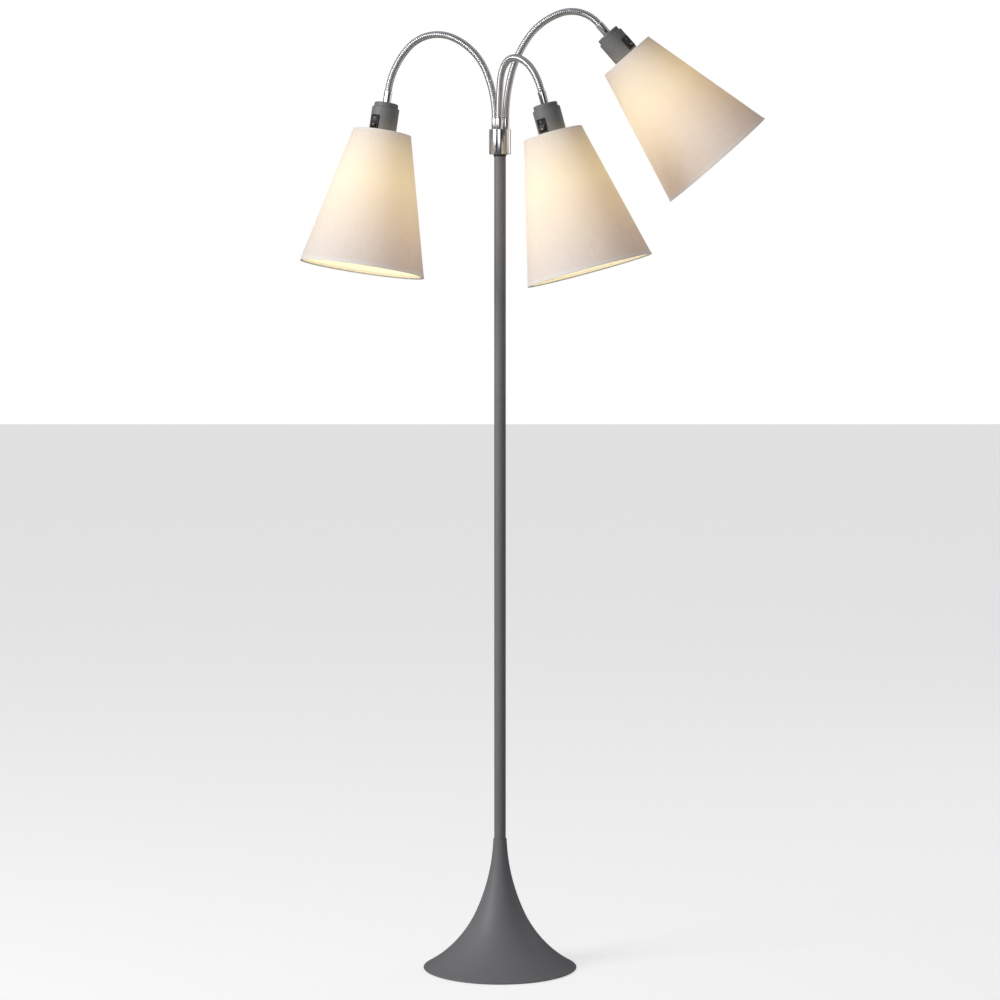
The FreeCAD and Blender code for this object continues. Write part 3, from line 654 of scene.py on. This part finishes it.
def ribbedArm(arm, places):
    length = arms[arm]["length"]
    ribs = round(length / neck["pitch"])
    pitch = length / ribs
    cuts = [0] + [round(ribs * share / 8) for share in (1, 3, 5, 7)] + [ribs]
    chain = [f"{arm}_neck_{letter}" for letter in "abcd"] + [f"{arm}_head"]
    for part in range(5):
        first, last = cuts[part], cuts[part + 1]
        tube = tubeAlong(f"{arm}_ribs_{part + 1}", arm, places, ribStations(first, last, pitch), "chrome")
        steps = [((first + (last - first) * k / 24) * pitch, neck["lead"]) for k in range(25)]
        lead = tubeAlong(f"{arm}_lead_{part + 1}", arm, places, steps, "lead_plastic")
        for piece, slot in ((tube, "chrome"), (lead, "lead_plastic")):
            if part == 0:
                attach(piece, chain[0])
            else:
                hinge = part * length / 4
                reach = neck["turnReach"] if part < 4 else 0
                start = alongArm(arm, places, hinge - neck["turnReach"]).to_translation()
                end = alongArm(arm, places, hinge + reach).to_translation()
                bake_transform(piece)
        if part < 4:
            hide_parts(f"{arm}_neck_{part + 1}")
    foot = tubeAlong(
        f"{arm}_lead_foot", arm, places, [(-0.034, neck["lead"]), (0, neck["lead"])], "lead_plastic"
    )
    addPiece(foot, "stand", ["arm_leads"] if arm == "left" else [])


def ferrulePieces(arm, places):
    base = Matrix.Translation((*places[0].to_translation().xy, heights["ferruleTop"] - 23 * mm))
    lower = turned(f"{arm}_foot_sleeve", filleted([
        (3.46 * mm, 0),
        (4.7 * mm, 0, 0.3 * mm),
        (4.7 * mm, 5 * mm),
        (5.6 * mm, 5 * mm, 0.3 * mm),
        (5.6 * mm, 23 * mm, 0.7 * mm),
        (3.46 * mm, 23 * mm),
    ]), "chrome", base, 64)
    addPiece(lower, "stand", [f"{arm}_lower_ferrule"])
    upper = turned(f"{arm}_head_sleeve", filleted([
        (5.0 * mm, 0.7 * mm, 0.2 * mm),
        (6.1 * mm, 0.7 * mm, 0.6 * mm),
        (6.1 * mm, 20 * mm, 0.2 * mm),
        (4.7 * mm, 20 * mm),
        (4.7 * mm, 28 * mm, 0.3 * mm),
        (2.3 * mm, 28 * mm, 0.2 * mm),
        (2.3 * mm, 4.2 * mm),
        (5.0 * mm, 4.0 * mm),
    ]), "chrome", places[4], 64)
    addPiece(upper, f"{arm}_head", [f"{arm}_upper_ferrule"])


armStations = {arm: armPlaces(arm) for arm in arms}
for arm, places in armStations.items():
    ribbedArm(arm, places)
    ferrulePieces(arm, places)
print("arms made")


# heads

cap = {"radius": 18.4, "height": 7, "round": 2.4, "wall": 1.5, "boss": 9, "hole": 4.78}


def socketCap(arm, place):
    edge = cap["radius"] * mm
    outline = filleted([
        (cap["hole"] * mm, 0),
        (edge, 0, cap["round"] * mm),
        (edge, cap["height"] * mm),
        (edge - cap["wall"] * mm, cap["height"] * mm),
        (edge - cap["wall"] * mm, cap["wall"] * mm),
        (cap["boss"] * mm, cap["wall"] * mm),
        (cap["boss"] * mm, cap["height"] * mm),
        (cap["hole"] * mm, cap["height"] * mm),
    ], steps=8)
    piece = turned(f"{arm}_cap", outline, "grey_paint", place, 96)
    addPiece(piece, f"{arm}_head", [f"{arm}_socket_cap"])


housing = {"radius": 21, "wall": 0.9, "top": 7, "end": 55, "round": 1.6, "boss": 9}


def socketBody(arm, place):
    outside = housing["radius"] * mm
    inside = outside - housing["wall"] * mm
    top, end = housing["top"] * mm, housing["end"] * mm
    outline = filleted([
        (housing["boss"] * mm, top),
        (outside, top, housing["round"] * mm),
        (outside, end, 0.25 * mm),
        (inside, end, 0.25 * mm),
        (inside, top + 1.2 * mm),
        (housing["boss"] * mm, top + 1.2 * mm),
    ], steps=7)
    body = turned(f"{arm}_housing", outline, "grey_paint", Matrix(), 128)
    window = roundedBlock(
        f"{arm}_window", (10 * mm, -6.7 * mm, 21.8 * mm), (23 * mm, 6.7 * mm, 41.2 * mm), "grey_paint", bevel=0.0002
    )
    hollowed(body, window)
    body.data.polygons.foreach_set("use_smooth", [True] * len(body.data.polygons))
    body.data.set_sharp_from_angle(angle=math.radians(35))
    body.data.transform(place)
    addPiece(body, f"{arm}_head", [f"{arm}_socket_body"])


switch = {"centre": 31.5, "face": 22.2, "bezel": (15, 21), "opening": (10.6, 17.2), "pivot": 3, "rest": 8}


def switchPieces(arm, place):
    face, centre = switch["face"] * mm, switch["centre"] * mm
    halfWide, halfTall = (v * mm / 2 for v in switch["bezel"])
    openWide, openTall = (v * mm / 2 for v in switch["opening"])
    bezel = roundedBlock(
        f"{arm}_bezel", (19.3 * mm, -halfWide, centre - halfTall), (face, halfWide, centre + halfTall),
        "black_plastic", bevel=0.0007,
    )
    settle(bezel)
    barrel = turned(f"{arm}_barrel", [(0, 0), (21.06 * mm, 0), (21.06 * mm, 0.06), (0, 0.06)], "black_plastic",
                    around=128, closed=False)
    hole = roundedBlock(
        f"{arm}_hole", (10 * mm, -openWide, centre - openTall), (face + 1 * mm, openWide, centre + openTall),
        "black_plastic", bevel=0.0003,
    )
    hollowed(bezel, barrel, hole)
    case = roundedBlock(
        f"{arm}_case", (10.2 * mm, -6.4 * mm, centre - 9.4 * mm), (face - 1 * mm, 6.4 * mm, centre + 9.4 * mm),
        "black_plastic", bevel=0.0004,
    )
    settle(case)
    well = roundedBlock(
        f"{arm}_well", (14.2 * mm, -5.3 * mm, centre - 8.6 * mm), (face + 1 * mm, 5.3 * mm, centre + 8.6 * mm),
        "black_plastic", bevel=0.0002,
    )
    hollowed(case, well)
    for piece in (bezel, case):
        piece.data.transform(place)
    addPiece(bezel, f"{arm}_head", [f"{arm}_switch_case"])
    addPiece(case, f"{arm}_head")
    pivot = Matrix.Translation((face - switch["pivot"] * mm, 0, centre))
    tipped = place @ pivot @ Matrix.Rotation(math.radians(switch["rest"]), 4, "Y")
    outline = [
        (-2, -7.5), (4.0, -7.86), (4.35, -7.5), (3.1, -3.2), (2.6, 0),
        (3.1, 3.2), (4.35, 7.5), (4.0, 7.86), (-2, 7.5),
    ]
    points = [(x * mm, side * 4.9 * mm, z * mm) for side in (-1, 1) for x, z in outline]
    count = len(outline)
    faces = [tuple(range(count)), tuple(reversed(range(count, 2 * count)))]
    faces += [(k, k + count, (k + 1) % count + count, (k + 1) % count) for k in range(count)]
    rocker = meshPiece(f"{arm}_rocker", points, faces, "black_plastic", tipped, sharp=30)
    soften(rocker, 0.00035, 2, 30)
    addPiece(rocker, f"{arm}_rocker", [f"{arm}_switch_rocker"])
    switchMarks(arm, tipped)


def switchMarks(arm, tipped):
    # both halves of the rocker rise outwards from the middle
    for name, side in (("on", -1), ("off", 1)):
        lean = math.atan2(4.35 - 3.1, 7.5 - 3.2) * side
        spot = Matrix.Translation((3.72 * mm, 0, 5.3 * mm * side)) @ Matrix.Rotation(lean, 4, "Y")
        if name == "on":
            mark = roundedBlock(
                f"{arm}_mark_on", (-0.05 * mm, -0.3 * mm, -1.5 * mm), (0.08 * mm, 0.3 * mm, 1.5 * mm),
                "mark", tipped @ spot, 0.00003,
            )
        else:
            ring = [(1.1 * mm, -0.05 * mm), (1.6 * mm, -0.05 * mm), (1.6 * mm, 0.08 * mm), (1.1 * mm, 0.08 * mm)]
            faceOut = Matrix.Rotation(math.pi / 2, 4, "Y")
            mark = turned(f"{arm}_mark_off", ring, "mark", tipped @ spot @ faceOut, 40)
        addPiece(mark, f"{arm}_rocker")


shade = {"start": 45, "height": 212.5, "top": 44.5, "bottom": 96, "wall": 0.9, "topTrim": 3, "bottomTrim": 6}


def shadeRadius(s):
    return (shade["top"] + (shade["bottom"] - shade["top"]) * (s - shade["start"]) / shade["height"]) * mm


def coneFace(name, place, finish):
    # one face of the cone, as a grid whose cloth coordinates run round it and down it
    around, rows = 144, 48
    start, end = shade["start"] + 0.6, shade["start"] + shade["height"] - 0.6
    meanRadius = (shade["top"] + shade["bottom"]) / 2 * mm
    points, uvs = [], []
    for j in range(rows + 1):
        s = start + (end - start) * j / rows
        for k in range(around):
            w = 2 * math.pi * k / around
            r = shadeRadius(s)
            points.append((r * math.cos(w), r * math.sin(w), s * mm))
    faces = []
    for j in range(rows):
        for k in range(around):
            n = (k + 1) % around
            ring = (j * around + k, j * around + n, (j + 1) * around + n, (j + 1) * around + k)
            faces.append(ring)
            left, right = (2 * math.pi * meanRadius * v / around for v in (k, k + 1))
            high, low = (shadeSlant * v / rows for v in (j, j + 1))
            uvs.append([(left, high), (right, high), (right, low), (left, low)])
    return meshPiece(name, points, faces, finish, place, uvs)


def rimTape(name, place, s, width, down):
    # a folded tape round a rim: out over the fabric, round the edge and back inside
    edge, inner = s, s + width * down
    rim, far = shadeRadius(edge), shadeRadius(inner)
    proud, thick = 0.3 * mm, (shade["wall"] + 0.35) * mm
    outline = [
        (far - 0.02 * mm, inner * mm),
        (far + proud * 0.8, (inner - 0.25 * down) * mm),
        (far + proud, (inner - 0.7 * down) * mm),
        (rim + proud, (edge + 0.9 * down) * mm),
        (rim + proud * 0.75, (edge + 0.35 * down) * mm),
        (rim + proud * 0.1, (edge + 0.02 * down) * mm),
        (rim - thick * 0.5, edge * mm),
        (rim - thick * 0.85, (edge + 0.1 * down) * mm),
        (rim - thick, (edge + 0.5 * down) * mm),
        (far - thick, (inner - 0.3 * down) * mm),
        (far - thick + 0.2 * mm, inner * mm),
    ]
    if down < 0:
        outline.reverse()
    return turned(name, outline, "tape", place, 144, sharp=80)


def shadePieces(arm, place):
    body = f"{arm}_head"
    start, end = shade["start"], shade["start"] + shade["height"]
    fabric = coneFace(f"{arm}_shade_fabric", place, "shade_fabric")
    thickness = fabric.modifiers.new("cloth", "SOLIDIFY")
    thickness.thickness = shade["wall"] * mm
    thickness.offset = -1
    thickness.material_offset = 1
    thickness.material_offset_rim = 1
    fabric.data.materials.append(finishes["lining"].holder)
    settle(fabric)
    addPiece(fabric, body, [f"{arm}_shade"])
    for name, s, width, down in (("top", start, shade["topTrim"], 1), ("bottom", end, shade["bottomTrim"], -1)):
        tape = rimTape(f"{arm}_{name}_tape", place, s, width, down)
        addPiece(tape, body)


for arm, places in armStations.items():
    place = headPlace(arm, places)
    socketCap(arm, place)
    socketBody(arm, place)
    switchPieces(arm, place)
    shadePieces(arm, place)
print("heads made")


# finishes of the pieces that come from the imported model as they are

slotOf = {part["node"]: part["material_slot"] for part in frame["record"]["subparts"]}
for name, node in frame["nodes"].items():
    finish = finishes[slotOf[name]]
    node.data.materials.clear()
    node.data.materials.append(finish.holder)
print("model pieces finished")


# floor, light and camera

def floorPlane():
    size = 14
    points = [(-size, -size, 0), (size, -size, 0), (size, size, 0), (-size, size, 0)]
    f = Finish("pale_floor", {"Roughness": 0.9, "Specular IOR Level": 0.1, "Emission Strength": 1.0})
    seen = f.node("LightPath")
    speckle = f.noise(f.place(), 40, 3)
    f.feedShader({
        "Base Color": f.mixColour(speckle, (0.5, 0.5, 0.5), (0.52, 0.52, 0.52)),
        "Emission Color": f.mixColour(seen, (0, 0, 0), (0.66, 0.66, 0.66)),
    })
    finishes["floor"] = f
    plane = meshPiece("floor", points, [(0, 1, 2, 3)], "floor")


def worldLight():
    world = bpy.data.worlds.new("studio")
    bpy.context.scene.world = world
    world.use_nodes = True
    f = Finish("studio", {}, world)
    background = f.tree.nodes["Background"]
    path = f.node("LightPath")
    glossy = Wire(f, path.socket.node.outputs["Is Glossy Ray"])
    direction = f.node("TexCoord", output="Generated")
    split = f.node("SeparateXYZ", {}, {0: direction})
    toBack = Wire(f, split.socket.node.outputs[1])
    bands = f.ramp(toBack * 0.5 + 0.5, [
        (0.0, (0.035, 0.035, 0.038)),
        (0.16, (0.06, 0.06, 0.065)),
        (0.28, (0.3, 0.3, 0.31)),
        (0.5, (0.46, 0.46, 0.47)),
        (0.8, (0.3, 0.3, 0.31)),
        (1.0, (0.12, 0.12, 0.125)),
    ])
    ambient = f.mixColour(glossy, (0.15, 0.152, 0.16), bands)
    shown = f.mixColour(path, ambient, (1.0, 1.0, 1.0))
    f.feed(background.inputs["Color"], shown)
    background.inputs["Strength"].default_value = 1.0


lamps = {
    "key": {"at": (-3.3, -1.9, 2.3), "size": 1.8, "power": 96, "colour": (1.0, 0.995, 0.985)},
    "front": {"at": (-0.9, -4.4, 2.2), "size": 2.0, "power": 26, "colour": (1.0, 1.0, 1.0)},
    "rimRight": {"at": (2.6, 1.6, 1.6), "size": 1.2, "power": 7, "colour": (0.97, 0.98, 1.0)},
}


def addLamps():
    aim = Vector((0, 0, 0.95))
    for name, facts in lamps.items():
        light = bpy.data.lights.new(name, "AREA")
        light.size = facts["size"]
        light.energy = facts["power"]
        light.color = facts["colour"]
        lamp = bpy.data.objects.new(name, light)
        bpy.context.scene.collection.objects.link(lamp)
        lamp.location = facts["at"]
        lamp.rotation_euler = (aim - lamp.location).to_track_quat("-Z", "Y").to_euler()


view = {"at": (0, -5.07, 1.16), "tilt": 85.2, "lens": 118.5}


def addCamera():
    data = bpy.data.cameras.new("view")
    data.lens = view["lens"]
    data.sensor_width = 36
    camera = bpy.data.objects.new("view", data)
    bpy.context.scene.collection.objects.link(camera)
    camera.location = view["at"]
    camera.rotation_euler = (math.radians(view["tilt"]), 0, 0)
    bpy.context.scene.camera = camera


floorPlane()
worldLight()
addLamps()
addCamera()
bpy.context.scene.view_settings.view_transform = "Standard"
print("stage made")
